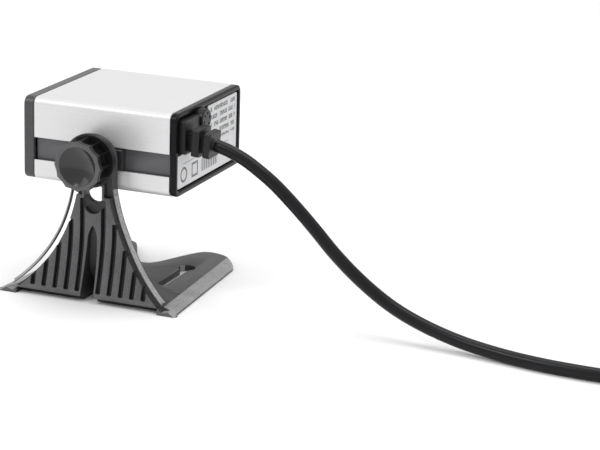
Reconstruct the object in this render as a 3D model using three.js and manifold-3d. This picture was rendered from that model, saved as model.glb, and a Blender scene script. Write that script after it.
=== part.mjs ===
// Desk webcam: an aluminium box camera clamped by its side rail to a moulded bracket stand.
// Millimetres, +Z up. The lens looks along -X, the lead leaves at +X, the clamp knob is on the -Y side.
// Inside this file the stand's middle plane is x = 0, the camera's rail side is y = 0 and the desk
// is z = 0. The outermost group then puts the origin under the middle of the object, on the desk.

import * as THREE from 'three';
import { mergeVertices } from 'three/addons/utils/BufferGeometryUtils.js';
import Module from 'manifold-3d';

const wasm = await Module();
wasm.setup();

// ---------------------------------------------------------------- driving dimensions

const GAP = 0.3; // clearance kept between touching pieces
const FOOTPRINT_CENTRE = { x: 1.27, y: 19.5 };

const CAMERA = { length: 58.2, depth: 54.2, height: 29.2, bottom: 38.3, shift: -0.8, wall: 1.5, corner: 2.4 };
const REAR_END = CAMERA.shift + CAMERA.length / 2;
const FRONT_END = CAMERA.shift - CAMERA.length / 2;
const CAMERA_TOP = CAMERA.bottom + CAMERA.height;

const FRONT_FRAME = { thickness: 4.0, rim: 2.0 };
const REAR_FRAME = { thickness: 2.4, rim: 1.9 };

const RAIL_Z = 49.5; // height of the rail's middle above the desk
const CLAMP_Z = 50.2; // height of the clamp axis, a little above the rail's middle
const RAIL = { mouth: 4.0, lip: 0.6, inside: 4.6, floor: 2.6, inlay: 0.5 };
const SLIDER = { half: 8.6, proud: 1.5, neck: 3.65, foot: 4.25 };

const OPTIC = { y: 27.1, z: CAMERA.bottom + CAMERA.height / 2 };
const FOCUS_RING = { radius: 8.2, bore: 5.7, out: 7.0, ribs: 18 };
const BARREL = { radius: 5.2, bore: 4.4 };

const LEG = { back: -6.04, front: -1.8, flareBack: 4.86, headRadius: 8.6, tip: 34.2, neckHeight: 40.5 };
const RIM = { chamfer: 0.9, chamferDepth: 1.3, depth: 1.7, core: 2.4 };
const FOOT = { thickness: 2.2, reach: 56.8, fillet: 12, bevel: 5.4 };
const GROOVE = { pitch: 4.3, first: 4.0, width: 1.8, depth: 2.3, tops: [36.0, 28.0, 19.5, 13.0, 8.4] };
const EDGE_GROOVE = { outer: 1.1, inner: 2.9 };

const KNOB = { flange: 9.4, cusp: 8.8, scallops: 12, back: -7.34, front: -17.8, dish: 6.8, dishDepth: 2.3, bore: -14.6 };
const STUD = { radius: 1.9, end: -13.6 };

const CORD = { radius: 2.25, z: 2.28 };
const COIL = { x: 214, y: 25.35, radius: 26, halfWidth: 9.1, height: 9.1 };
const LEAD = { y: 7.9, z: 57.3 };

// ---------------------------------------------------------------- shape helpers

const v2 = (x, y) => new THREE.Vector2(x, y);
const v3 = (x, y, z) => new THREE.Vector3(x, y, z);

/** A closed geometry as a solid that can be joined and cut. */
function solidOf(geometry) {
  const bare = geometry.index ? geometry.toNonIndexed() : geometry.clone();
  bare.deleteAttribute('normal');
  bare.deleteAttribute('uv');
  const merged = mergeVertices(bare, 1e-4);
  const index = merged.index.array;
  const faces = [];
  for (let i = 0; i < index.length; i += 3) {
    const [a, b, c] = [index[i], index[i + 1], index[i + 2]];
    if (a !== b && b !== c && c !== a) faces.push(a, b, c);
  }
  return new wasm.Manifold(new wasm.Mesh({
    numProp: 3,
    vertProperties: new Float32Array(merged.attributes.position.array),
    triVerts: new Uint32Array(faces),
  }));
}

/** The solid's faces as a geometry with flat normals. */
function geometryOf(solid) {
  const mesh = solid.getMesh();
  const geometry = new THREE.BufferGeometry();
  geometry.setAttribute('position', new THREE.BufferAttribute(new Float32Array(mesh.vertProperties), 3));
  geometry.setIndex(new THREE.BufferAttribute(new Uint32Array(mesh.triVerts), 1));
  const flat = geometry.toNonIndexed();
  flat.computeVertexNormals();
  return flat;
}

function join(first, ...others) {
  return geometryOf(others.reduce((solid, g) => solid.add(solidOf(g)), solidOf(first)));
}

function cut(first, ...others) {
  return geometryOf(others.reduce((solid, g) => solid.subtract(solidOf(g)), solidOf(first)));
}

function common(first, second) {
  return geometryOf(solidOf(first).intersect(solidOf(second)));
}

/** Prism whose outline lies in (y, z), running from x0 to x1. */
function prismX(shape, x0, x1, curveSegments = 8) {
  const g = new THREE.ExtrudeGeometry(shape, { depth: x1 - x0, bevelEnabled: false, curveSegments });
  return g.rotateX(Math.PI / 2).rotateZ(Math.PI / 2).translate(x0, 0, 0);
}

/** Prism whose outline lies in (x, z), running from y0 to y1. */
function prismY(shape, y0, y1, curveSegments = 8) {
  const g = new THREE.ExtrudeGeometry(shape, { depth: y1 - y0, bevelEnabled: false, curveSegments });
  return g.rotateX(Math.PI / 2).translate(0, y1, 0);
}

/** Prism whose outline lies in (x, y), running from z0 to z1. */
function prismZ(shape, z0, z1, curveSegments = 8) {
  const g = new THREE.ExtrudeGeometry(shape, { depth: z1 - z0, bevelEnabled: false, curveSegments });
  return g.translate(0, 0, z0);
}

function box(x0, x1, y0, y1, z0, z1) {
  const g = new THREE.BoxGeometry(x1 - x0, y1 - y0, z1 - z0);
  return g.translate((x0 + x1) / 2, (y0 + y1) / 2, (z0 + z1) / 2);
}

/** Cylinder along x between x0 and x1. */
function rodX(radius, x0, x1, y, z, sides = 32) {
  const g = new THREE.CylinderGeometry(radius, radius, x1 - x0, sides).rotateZ(Math.PI / 2);
  return g.translate((x0 + x1) / 2, y, z);
}

/** Cylinder along y between y0 and y1. */
function rodY(radius, y0, y1, x, z, sides = 32) {
  return new THREE.CylinderGeometry(radius, radius, y1 - y0, sides).translate(x, (y0 + y1) / 2, z);
}

/** Solid of revolution about the y axis from closed (radius, y) points given in either sense. */
function turned(points, sides) {
  const outward = THREE.ShapeUtils.area(points) > 0 ? points : [...points].reverse();
  return new THREE.LatheGeometry(outward, sides);
}

/** Solid of revolution about an x axis through (y, z), from (radius, x) points. */
function turnedX(profile, y, z, sides = 32) {
  return turned(profile.map(([r, x]) => v2(r, -x)), sides).rotateZ(Math.PI / 2).translate(0, y, z);
}

function roundedRect(x0, x1, y0, y1, r) {
  const s = new THREE.Shape();
  s.moveTo(x0 + r, y0);
  s.lineTo(x1 - r, y0).absarc(x1 - r, y0 + r, r, -Math.PI / 2, 0);
  s.lineTo(x1, y1 - r).absarc(x1 - r, y1 - r, r, 0, Math.PI / 2);
  s.lineTo(x0 + r, y1).absarc(x0 + r, y1 - r, r, Math.PI / 2, Math.PI);
  s.lineTo(x0, y0 + r).absarc(x0 + r, y0 + r, r, Math.PI, Math.PI * 1.5);
  return s;
}

const holePath = (shape, segments = 6) => new THREE.Path(shape.getPoints(segments));

/** Half outline mirrored about x = 0. The half runs from bottom to top on the +x side. */
function mirrored(half) {
  const other = half.filter((p) => Math.abs(p.x) > 1e-6).map((p) => v2(-p.x, p.y)).reverse();
  return new THREE.Shape([...half, ...other]);
}

const DARK_PLASTIC = { color: 0x26262a, roughness: 0.45, metalness: 0 };
const STAND_PLASTIC = { color: 0x3a393d, roughness: 0.55, metalness: 0 };
const FRAME_PLASTIC = { color: 0x4a4a4e, roughness: 0.4, metalness: 0.1 };
const GLOSS_BLACK = { color: 0x0c0c0f, roughness: 0.12, metalness: 0 };
const ALUMINIUM = { color: 0xd9d9dc, roughness: 0.35, metalness: 0.9 };
const STEEL = { color: 0xb4b4b8, roughness: 0.3, metalness: 1 };
const BRASS = { color: 0xc9a558, roughness: 0.35, metalness: 1 };
const GLASS = { color: 0x2a2f3f, roughness: 0.05, metalness: 0 };
const LABEL_GREY = { color: 0xcfcfd1, roughness: 0.5, metalness: 0 };
const BOARD_GREEN = { color: 0x1f5b3a, roughness: 0.5, metalness: 0 };
const CHIP_BLACK = { color: 0x19191b, roughness: 0.6, metalness: 0 };
const RUBBER = { color: 0x1d1d20, roughness: 0.6, metalness: 0 };
const NYLON = { color: 0xe9e6dc, roughness: 0.5, metalness: 0 };

function part(name, geometry, finish) {
  const mesh = new THREE.Mesh(geometry, new THREE.MeshStandardMaterial(finish));
  mesh.name = name;
  return mesh;
}

// ---------------------------------------------------------------- camera housing

/** Section of the sleeve in (y, z), open at the side for the undercut rail channel. */
function sleeveOutline() {
  const { depth: d, corner: r, bottom: b } = CAMERA;
  const t = CAMERA_TOP;
  const s = new THREE.Shape();
  s.moveTo(r, b);
  s.lineTo(d - r, b).absarc(d - r, b + r, r, -Math.PI / 2, 0);
  s.lineTo(d, t - r).absarc(d - r, t - r, r, 0, Math.PI / 2);
  s.lineTo(r, t).absarc(r, t - r, r, Math.PI / 2, Math.PI);
  for (const side of [1, -1]) {
    const steps = [[0, RAIL.mouth], [RAIL.lip, RAIL.mouth], [RAIL.lip, RAIL.inside], [RAIL.floor, RAIL.inside]];
    for (const [y, z] of side > 0 ? steps : steps.reverse()) s.lineTo(y, RAIL_Z + side * z);
  }
  s.lineTo(0, b + r).absarc(r, b + r, r, Math.PI, Math.PI * 1.5);
  return s;
}

/** Hollow of the sleeve, stepped round the wall behind the rail channel. */
function sleeveHollow() {
  const { depth: d, wall: w, bottom: b } = CAMERA;
  const ledge = RAIL.floor + w;
  const s = new THREE.Shape();
  s.moveTo(w, b + w);
  s.lineTo(d - w, b + w).lineTo(d - w, CAMERA_TOP - w).lineTo(w, CAMERA_TOP - w);
  s.lineTo(w, RAIL_Z + RAIL.inside + w).lineTo(ledge, RAIL_Z + RAIL.inside + w);
  s.lineTo(ledge, RAIL_Z - RAIL.inside - w).lineTo(w, RAIL_Z - RAIL.inside - w);
  return s;
}

function bodySleeve() {
  const s = sleeveOutline();
  s.holes.push(holePath(sleeveHollow()));
  const x0 = FRONT_END + FRONT_FRAME.thickness + GAP / 2;
  const x1 = REAR_END - REAR_FRAME.thickness - GAP / 2;
  return prismX(s, x0, x1, 6);
}

function railInlay() {
  const y1 = RAIL.floor - GAP;
  const s = roundedRect(y1 - RAIL.inlay, y1, RAIL_Z - RAIL.inside + GAP, RAIL_Z + RAIL.inside - GAP, 0.15);
  return prismX(s, FRONT_END + FRONT_FRAME.thickness + 0.4, REAR_END - REAR_FRAME.thickness - 0.4, 2);
}

/** Rounded ring in the (y, z) plane with softened outer edges at both ends. */
function endRing(x0, x1, rim) {
  const { depth: d, bottom: b, corner: r } = CAMERA;
  const soft = 0.5;
  const outer = roundedRect(soft, d - soft, b + soft, CAMERA_TOP - soft, r);
  const hole = rim - soft;
  outer.holes.push(holePath(roundedRect(hole, d - hole, b + hole, CAMERA_TOP - hole, 1.4)));
  const g = new THREE.ExtrudeGeometry(outer, {
    depth: x1 - x0 - 2 * soft, curveSegments: 4, bevelEnabled: true, bevelThickness: soft, bevelSize: soft, bevelSegments: 2,
  });
  return g.rotateX(Math.PI / 2).rotateZ(Math.PI / 2).translate(x0 + soft, 0, 0);
}

function frontPanel() {
  const e = FRONT_FRAME.rim + GAP;
  const outline = roundedRect(e, CAMERA.depth - e, CAMERA.bottom + e, CAMERA_TOP - e, 1.1);
  const lens = new THREE.Path().absarc(OPTIC.y, OPTIC.z, FOCUS_RING.radius + 0.6, 0, Math.PI * 2, true);
  const light = new THREE.Path().absarc(OPTIC.y + 17, OPTIC.z + 6, 1.5, 0, Math.PI * 2, true);
  outline.holes.push(lens, light);
  return prismX(outline, FRONT_END + 0.7, FRONT_END + 2.4, 12);
}

function statusLight() {
  return turnedX([[0, FRONT_END + 0.5], [1.0, FRONT_END + 0.6], [1.2, FRONT_END + 0.9], [1.2, FRONT_END + 4.5],
    [0, FRONT_END + 4.5]], OPTIC.y + 17, OPTIC.z + 6, 20);
}

const MICROPHONE = { y: 18.5, z: 62.4, radius: 3.9, out: 2.9, holes: 6, ring: 2.25 };

function rearFrame() {
  const ring = endRing(REAR_END - REAR_FRAME.thickness, REAR_END, REAR_FRAME.rim);
  const notch = rodX(MICROPHONE.radius + GAP, REAR_END - 4, REAR_END + 2, MICROPHONE.y, MICROPHONE.z);
  return cut(ring, notch);
}

function rearPanel() {
  const e = REAR_FRAME.rim + GAP;
  const outline = roundedRect(e, CAMERA.depth - e, CAMERA.bottom + e, CAMERA_TOP - e, 1.1);
  const plate = prismX(outline, REAR_END - 2.2, REAR_END - 1.3, 5);
  const forMicrophone = rodX(MICROPHONE.radius + GAP, REAR_END - 5, REAR_END, MICROPHONE.y, MICROPHONE.z);
  const forLead = rodX(3.3, REAR_END - 5, REAR_END, LEAD.y, LEAD.z, 24);
  return cut(plate, forMicrophone, forLead);
}

/** Rating label: the panel's outline less the corner where the microphone and the lead stand. */
function ratingLabel() {
  const y0 = 2.5;
  const y1 = CAMERA.depth - 2.5;
  const z0 = CAMERA.bottom + 2.5;
  const z1 = CAMERA_TOP - 2.5;
  const s = new THREE.Shape();
  s.moveTo(y0 + 0.6, z0).lineTo(y1 - 0.6, z0).lineTo(y1, z0 + 0.6).lineTo(y1, z1 - 0.6).lineTo(y1 - 0.6, z1);
  s.lineTo(27.0, z1).lineTo(27.0, 52.4).lineTo(y0, 52.4).lineTo(y0, z0 + 0.6);
  return prismX(s, REAR_END - 1.0, REAR_END - 0.5);
}

function microphoneHousing() {
  const { y, z, radius: r } = MICROPHONE;
  const face = REAR_END + MICROPHONE.out;
  const back = REAR_END - 2.2;
  const cup = turnedX([[0, face], [r - 0.4, face], [r, face - 0.4], [r, back], [r - 0.9, back],
    [r - 0.9, face - 1.2], [0, face - 1.2]], y, z, 28);
  const sound = [];
  for (let i = 0; i < MICROPHONE.holes; i += 1) {
    const a = (i + 0.25) * (Math.PI * 2) / MICROPHONE.holes;
    sound.push(rodX(0.5, face - 2, face + 1, y + MICROPHONE.ring * Math.cos(a), z + MICROPHONE.ring * Math.sin(a), 12));
  }
  return cut(cup, ...sound);
}

function microphoneCapsule() {
  return rodX(2.6, REAR_END - 3.4, REAR_END + 0.6, MICROPHONE.y, MICROPHONE.z, 24);
}

/** Square plate of the strain relief, leaning a little forward at the top as the neck droops. */
function reliefPlate(x0, thickness, side, z, lean) {
  const half = side / 2;
  const g = prismX(roundedRect(-half, half, -half, half, 1.0), 0, thickness, 4);
  return g.rotateY(lean).translate(x0, LEAD.y, z);
}

function strainRelief() {
  const base = prismX(roundedRect(2.4, 14.3, 53.3, 65.1, 0.8), REAR_END - 1.0, REAR_END + 2.1, 4);
  const spigot = rodX(3.0, REAR_END - 5.0, REAR_END + 3, LEAD.y, LEAD.z, 24);
  const neck = box(REAR_END + 1, REAR_END + 10, LEAD.y - 2.9, LEAD.y + 2.9, LEAD.z - 3.2, LEAD.z + 2.8);
  const middle = reliefPlate(REAR_END + 4.2, 2.7, 9.6, 57.6, 0.05);
  const last = reliefPlate(REAR_END + 8.4, 2.3, 8.8, 57.1, 0.1);
  return join(base, spigot, neck, middle, last);
}

// ---------------------------------------------------------------- optics and electronics

function focusRing() {
  const front = FRONT_END - FOCUS_RING.out;
  const back = FRONT_END + 0.3;
  const ring = turnedX([[FOCUS_RING.bore + 1.4, front], [FOCUS_RING.radius - 0.5, front],
    [FOCUS_RING.radius - 0.2, front + 0.6], [FOCUS_RING.radius - 0.2, back - 0.4], [FOCUS_RING.radius - 1, back],
    [FOCUS_RING.radius - 1, FRONT_END + 3.2], [FOCUS_RING.bore, FRONT_END + 3.2], [FOCUS_RING.bore, front + 1.2],
    [FOCUS_RING.bore + 1.4, front]], OPTIC.y, OPTIC.z, 36);
  const ribs = [];
  for (let i = 0; i < FOCUS_RING.ribs; i += 1) {
    const a = i * (Math.PI * 2) / FOCUS_RING.ribs;
    const rib = box(front + 1.2, back - 1.0, -0.35, 0.35, FOCUS_RING.radius - 0.8, FOCUS_RING.radius + 0.1);
    ribs.push(rib.rotateX(a).translate(0, OPTIC.y, OPTIC.z));
  }
  return join(ring, ...ribs);
}

function lensBarrel() {
  const front = FRONT_END - FOCUS_RING.out + 1.6;
  const { radius: r, bore: b } = BARREL;
  return turnedX([[b, front], [r - 0.3, front], [r, front + 0.3], [r, -19], [r - 1.2, -18.6], [r - 1.2, -17.2],
    [2.2, -17.2], [2.2, -17.8], [3.4, -17.8], [3.4, -21.2], [2.6, -21.2], [2.6, -22.4], [b, -26], [b, front]],
  OPTIC.y, OPTIC.z, 28);
}

/** Lens element with bulged faces, both bulges given as the rise at the centre. */
function lensElement(x0, edge, radius, frontRise, backRise) {
  const profile = [];
  const steps = 4;
  for (let i = 0; i <= steps; i += 1) {
    const r = (radius * i) / steps;
    profile.push([r, x0 - frontRise * (1 - (r / radius) ** 2)]);
  }
  for (let i = steps; i >= 0; i -= 1) {
    const r = radius * i / steps;
    profile.push([r, x0 + edge + backRise * (1 - (r / radius) ** 2)]);
  }
  return turnedX(profile, OPTIC.y, OPTIC.z, 24);
}

function lensHolder() {
  const tube = turnedX([[5.5, -25.4], [6.8, -25.4], [7.0, -25], [7.0, -15], [5.5, -15], [5.5, -25.4]], OPTIC.y, OPTIC.z, 28);
  const base = roundedRect(OPTIC.y - 8, OPTIC.y + 8, OPTIC.z - 8, OPTIC.z + 8, 1);
  base.holes.push(holePath(roundedRect(OPTIC.y - 4.6, OPTIC.y + 4.6, OPTIC.z - 4.6, OPTIC.z + 4.6, 0.6)));
  return join(tube, prismX(base, -15.5, -12.9, 4));
}

function mainBoard() {
  const s = roundedRect(5.2, 49.0, OPTIC.z - 11, OPTIC.z + 11, 0.8);
  for (const side of [-1, 1]) {
    s.holes.push(new THREE.Path().absarc(OPTIC.y + side * 6.6, OPTIC.z + side * 6.6, 1.2, 0, Math.PI * 2, true));
  }
  return prismX(s, -12.6, -11.0, 10);
}

function boardScrew(side) {
  const y = OPTIC.y + side * 6.6;
  const z = OPTIC.z + side * 6.6;
  return turnedX([[0, -12.6], [0.9, -12.6], [0.9, -10.7], [1.9, -10.7], [1.7, -9.8], [0.6, -9.6], [0, -9.9]], y, z, 20);
}

function leadConnector() {
  const shell = box(-10.7, -5.2, 8.5, 17.5, 55.0, 60.0);
  return cut(shell, box(-9.5, -4, 9.3, 16.7, 55.8, 59.2));
}

function innerLead() {
  const path = new THREE.CatmullRomCurve3([v3(REAR_END - 5.3, LEAD.y, LEAD.z), v3(15, LEAD.y + 0.2, LEAD.z),
    v3(8, 9.5, 56.8), v3(2, 11.6, 57.2), v3(-2.5, 12.6, 57.4), v3(-9.0, 13.0, 57.5)]);
  return tube(path, 1.6, 8, 14);
}

/** Round section carried along a path. */
function tube(path, radius, sides, steps) {
  const section = [];
  for (let i = 0; i < sides; i += 1) {
    const a = (i * Math.PI * 2) / sides;
    section.push(v2(radius * Math.cos(a), radius * Math.sin(a)));
  }
  return new THREE.ExtrudeGeometry(new THREE.Shape(section), { steps, extrudePath: path, bevelEnabled: false });
}

// ---------------------------------------------------------------- clamp

/** Slider that runs in the side rail: an undercut foot and a neck that stands a little proud. */
function sliderBlock() {
  const s = new THREE.Shape();
  const z = RAIL_Z;
  s.moveTo(-SLIDER.proud, z - SLIDER.neck + 0.3).lineTo(-SLIDER.proud + 0.3, z - SLIDER.neck);
  s.lineTo(0.9, z - SLIDER.neck).lineTo(0.9, z - SLIDER.foot).lineTo(1.5, z - SLIDER.foot);
  s.lineTo(1.5, z + SLIDER.foot).lineTo(0.9, z + SLIDER.foot).lineTo(0.9, z + SLIDER.neck);
  s.lineTo(-SLIDER.proud + 0.3, z + SLIDER.neck).lineTo(-SLIDER.proud, z + SLIDER.neck - 0.3);
  return cut(prismX(s, -SLIDER.half, SLIDER.half), rodY(STUD.radius + GAP, -3, 3, 0, CLAMP_Z, 24));
}

/** Stud of the clamp with its thread drawn as shallow rings. */
function clampStud() {
  const profile = [[0, STUD.end]];
  for (let y = STUD.end + 0.3; y < KNOB.back + 0.3; y += 1.0) {
    profile.push([STUD.radius - 0.3, y], [STUD.radius, y + 0.5]);
  }
  profile.push([STUD.radius, LEG.back - 0.2], [STUD.radius, 1.4], [0, 1.4]);
  return turned(profile.map(([r, y]) => v2(r, y)), 20).translate(0, 0, CLAMP_Z);
}

function clampWasher() {
  const y0 = LEG.back - GAP - 0.7;
  const profile = [v2(2.3, y0), v2(7.4, y0), v2(7.4, y0 + 0.7), v2(2.3, y0 + 0.7), v2(2.3, y0)];
  return turned(profile, 36).translate(0, 0, CLAMP_Z);
}

/** Outline of the knob: shallow scallops that meet in cusps. */
function scallopOutline(cusp) {
  const s = new THREE.Shape();
  const n = KNOB.scallops;
  const dip = cusp * 0.82;
  for (let i = 0; i < n; i += 1) {
    const a = (i * Math.PI * 2) / n;
    const mid = ((i + 0.5) * Math.PI * 2) / n;
    const b = ((i + 1) * Math.PI * 2) / n;
    if (i === 0) s.moveTo(cusp * Math.cos(a), CLAMP_Z + cusp * Math.sin(a));
    s.quadraticCurveTo(dip * Math.cos(mid), CLAMP_Z + dip * Math.sin(mid), cusp * Math.cos(b), CLAMP_Z + cusp * Math.sin(b));
  }
  return s;
}

function knobBody() {
  const flange = rodY(KNOB.flange, KNOB.back - 1.7, KNOB.back, 0, CLAMP_Z, 48);
  const grip = prismY(scallopOutline(KNOB.cusp), KNOB.front, KNOB.back - 1.0, 5);
  const dish = [];
  const steps = 7;
  for (let i = 0; i <= steps; i += 1) {
    const r = KNOB.dish * i / steps;
    dish.push(v2(r, KNOB.front + KNOB.dishDepth * (1 - (i / steps) ** 2)));
  }
  dish.push(v2(KNOB.dish, KNOB.front - 1), v2(0, KNOB.front - 1));
  const hollow = turned(dish, 36).translate(0, 0, CLAMP_Z);
  const bore = rodY(3.3, KNOB.bore, 0, 0, CLAMP_Z, 6);
  return cut(join(flange, grip), hollow, bore);
}

/** Threaded brass insert moulded into the knob. */
function knobInsert() {
  const hexagon = rodY(3.0, KNOB.bore + GAP, KNOB.back - 0.1, 0, CLAMP_Z, 6);
  return cut(hexagon, rodY(STUD.radius + 0.2, KNOB.bore - 1, LEG.back, 0, CLAMP_Z, 20));
}

// ---------------------------------------------------------------- stand

/** Flared edge of the leg from the tip at the desk up to the neck, on the +x side. */
function flare() {
  return new THREE.CubicBezierCurve(v2(LEG.tip, 0.6), v2(19.1, 9.6), v2(10.9, 25.5), v2(LEG.headRadius, LEG.neckHeight));
}

/** The flared edge moved inwards by a distance, as far up as its parameter reaches. */
function flareInset(distance, from, to, steps) {
  const curve = flare();
  const points = [];
  for (let i = 0; i <= steps; i += 1) {
    const t = from + ((to - from) * i) / steps;
    const p = curve.getPoint(t);
    const d = curve.getTangent(t);
    points.push(v2(p.x - d.y * distance, p.y + d.x * distance));
  }
  return points;
}

/** One side of the leg in (x, z), moved inwards by a distance: from under the desk up the flare and round the head. */
function legSide(inset) {
  const side = [v2(LEG.tip - inset, -3), ...flareInset(inset, 0, 1, 20)];
  const radius = LEG.headRadius - inset;
  for (let i = 1; i <= 12; i += 1) {
    const a = (i / 12) * THREE.MathUtils.degToRad(88);
    side.push(v2(radius * Math.cos(a), CLAMP_Z + radius * Math.sin(a)));
  }
  return side;
}

/** Depth y of the leg's back at a height, from the quadratic that backCurve draws. */
function backAt(z) {
  const t = z > 26.6 ? 0 : (Math.sqrt(20.2 ** 2 + 4 * 4.4 * (26.6 - z)) - 20.2) / (2 * 4.4);
  return LEG.back - LEG.flareBack * t ** 2;
}

/**
 * Leg as rings carried up its outline: a chamfered rim that follows the back, then a narrower core.
 * Each ring is the outline at one inset and depth, and the two sides of each ring are joined by strips.
 */
function legShell() {
  const { chamfer, chamferDepth, depth, core } = RIM;
  const onBack = (inset, y) => legSide(inset).map((p) => v3(p.x, backAt(p.y) + y, p.y));
  const flat = legSide(core).map((p) => v3(p.x, LEG.front, p.y));
  const rings = [onBack(chamfer, 0), onBack(0, chamferDepth), onBack(0, depth), onBack(core, depth), flat];
  const rows = rings[0].length;
  const loop = (i) => [...rings.map((r) => r[i]), ...rings.map((r) => v3(-r[i].x, r[i].y, r[i].z)).reverse()];
  const loops = Array.from({ length: rows }, (_, i) => loop(i));
  const points = loops.flat();
  const n = loops[0].length;
  const index = [];
  for (let i = 0; i < rows - 1; i += 1) {
    for (let j = 0; j < n; j += 1) {
      const k = (j + 1) % n;
      index.push(i * n + j, i * n + k, (i + 1) * n + k, i * n + j, (i + 1) * n + k, (i + 1) * n + j);
    }
  }
  const last = (rows - 1) * n;
  for (let j = 0; j < n / 2 - 1; j += 1) {
    const k = n - 1 - j;
    index.push(j, k, k - 1, j, k - 1, j + 1);
    index.push(last + j, last + k - 1, last + k, last + j, last + j + 1, last + k - 1);
  }
  return new THREE.BufferGeometry().setFromPoints(points).setIndex(index);
}

/** Back of the leg in (y, z), straight at the top and flaring back towards the desk. */
function backCurve(offset, steps) {
  const curve = new THREE.QuadraticBezierCurve(v2(LEG.back + offset, 26.6), v2(LEG.back + offset, 16.5), v2(-10.9 + offset, 2.0));
  return curve.getPoints(steps);
}

/** Front of the leg and top of the foot in (y, z), joined by a round fillet. */
function frontCurve(offset, steps) {
  const centre = v2(LEG.front + FOOT.fillet, FOOT.thickness + FOOT.fillet);
  const points = [];
  for (let i = 0; i <= steps; i += 1) {
    const a = Math.PI + ((i / steps) * Math.PI) / 2;
    const r = FOOT.fillet + offset;
    points.push(v2(centre.x + r * Math.cos(a), centre.y + r * Math.sin(a)));
  }
  return points;
}

/** Side view of the room that the bracket fills, as (y, z), with space left behind the leg's own back. */
function sideProfile() {
  const top = CLAMP_Z + LEG.headRadius + 1;
  return new THREE.Shape([v2(-14, top), v2(-14, 0), v2(FOOT.reach + 1, 0),
    v2(FOOT.reach + 1, FOOT.thickness), ...frontCurve(0, 8).reverse(), v2(LEG.front, top)]);
}

/** Plan of the foot: splayed sides, two rounded lobes and a valley between them. */
function footPlan() {
  const edge = new THREE.CubicBezierCurve(v2(30.1, 45.9), v2(28.6, 51.4), v2(22.6, FOOT.reach), v2(17.2, FOOT.reach));
  const tip = new THREE.QuadraticBezierCurve(v2(17.2, FOOT.reach), v2(14.4, FOOT.reach), v2(12.6, 54.4));
  const valley = new THREE.CubicBezierCurve(v2(12.6, 54.4), v2(6.3, 44.3), v2(5.2, 34.3), v2(0, 34.3));
  const half = [v2(33.6, -10.6), ...edge.getPoints(8), ...tip.getPoints(4).slice(1), ...valley.getPoints(9).slice(1)];
  return mirrored(half);
}

/** Region of the foot's sloping side, cut away to leave the wide bevel. */
function footBevel(side) {
  const s = new THREE.Shape([v2(-FOOT.bevel, FOOT.thickness), v2(0.4, 0.45), v2(4, 0.45), v2(4, 4), v2(-FOOT.bevel, 4)]);
  const wedge = prismY(s, -12, 62).rotateZ(THREE.MathUtils.degToRad(3.6)).translate(33.3, 0, 0);
  return side > 0 ? wedge : flipX(wedge);
}

/** Mirror image about x = 0 with its faces still pointing out. */
function flipX(geometry) {
  const g = geometry.index ? geometry.toNonIndexed() : geometry.clone();
  g.scale(-1, 1, 1);
  const p = g.attributes.position;
  for (let i = 0; i < p.count; i += 3) {
    const [x, y, z] = [p.getX(i), p.getY(i), p.getZ(i)];
    p.setXYZ(i, p.getX(i + 1), p.getY(i + 1), p.getZ(i + 1));
    p.setXYZ(i + 1, x, y, z);
  }
  return g;
}

/** Keyhole through one lobe of the foot: a round hole and the slot that leads to it. */
function keyhole(x) {
  const slot = roundedRect(x - 1.65, x + 1.65, 13.0, 35.5, 1.6);
  const hole = prismZ(new THREE.Shape().absarc(x, 35.5, 3.15, 0, Math.PI * 2), -1, 5, 14);
  return [prismZ(slot, -1, 5, 6), hole];
}

/** Grooves of the leg's ribbed back, as prisms that run right through it. */
function grooveCutters() {
  const cutters = [];
  GROOVE.tops.forEach((top, i) => {
    const x = GROOVE.first + GROOVE.pitch * i;
    for (const side of [-1, 1]) {
      const s = roundedRect(side * x - GROOVE.width / 2, side * x + GROOVE.width / 2, 3.6, top, 0.5);
      cutters.push(prismY(s, -20, 5, 3));
    }
  });
  const { outer, inner } = EDGE_GROOVE;
  const neck = (inset) => v2(LEG.headRadius - inset, CLAMP_Z - 6.0);
  const band = [...flareInset(outer, 0.06, 1, 16), neck(outer), neck(inner), ...flareInset(inner, 0.09, 1, 16).reverse()];
  cutters.push(prismY(new THREE.Shape(band), -20, 5));
  cutters.push(prismY(new THREE.Shape(band.map((p) => v2(-p.x, p.y)).reverse()), -20, 5));
  cutters.push(prismY(roundedRect(-3.4, 3.4, 30.8, 39.5, 3.3), -20, 5, 8));
  for (const side of [-1, 1]) {
    cutters.push(prismY(roundedRect(side * 5.75 - 1.65, side * 5.75 + 1.65, 37.0, 43.5, 0.4), -20, 5, 3));
  }
  return cutters;
}

/** Layer just under the leg's back, where the grooves are cut. */
function backLayer() {
  const deep = GROOVE.depth;
  return prismX(new THREE.Shape([v2(-20, 60), v2(-20, -2), v2(-10.9 + deep, -2), ...backCurve(deep, 9).reverse(),
    v2(LEG.back + deep, 60)]), -40, 40);
}

/** Pointed channel up the middle of the back, deep enough to leave only the front wall. */
function middleChannel() {
  const half = new THREE.QuadraticBezierCurve(v2(1.75, 22.6), v2(1.1, 25.4), v2(0, 26.6)).getPoints(5);
  const arch = mirrored([v2(2.6, -2), v2(2.2, 14), ...half]);
  const wall = 2.0;
  const side = new THREE.Shape([v2(-20, 28), v2(-20, -2), v2(11.2, -2), ...frontCurve(wall, 8).reverse(), v2(LEG.front - wall, 28)]);
  return common(prismY(arch, -20, 12), prismX(side, -10, 10));
}

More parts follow.
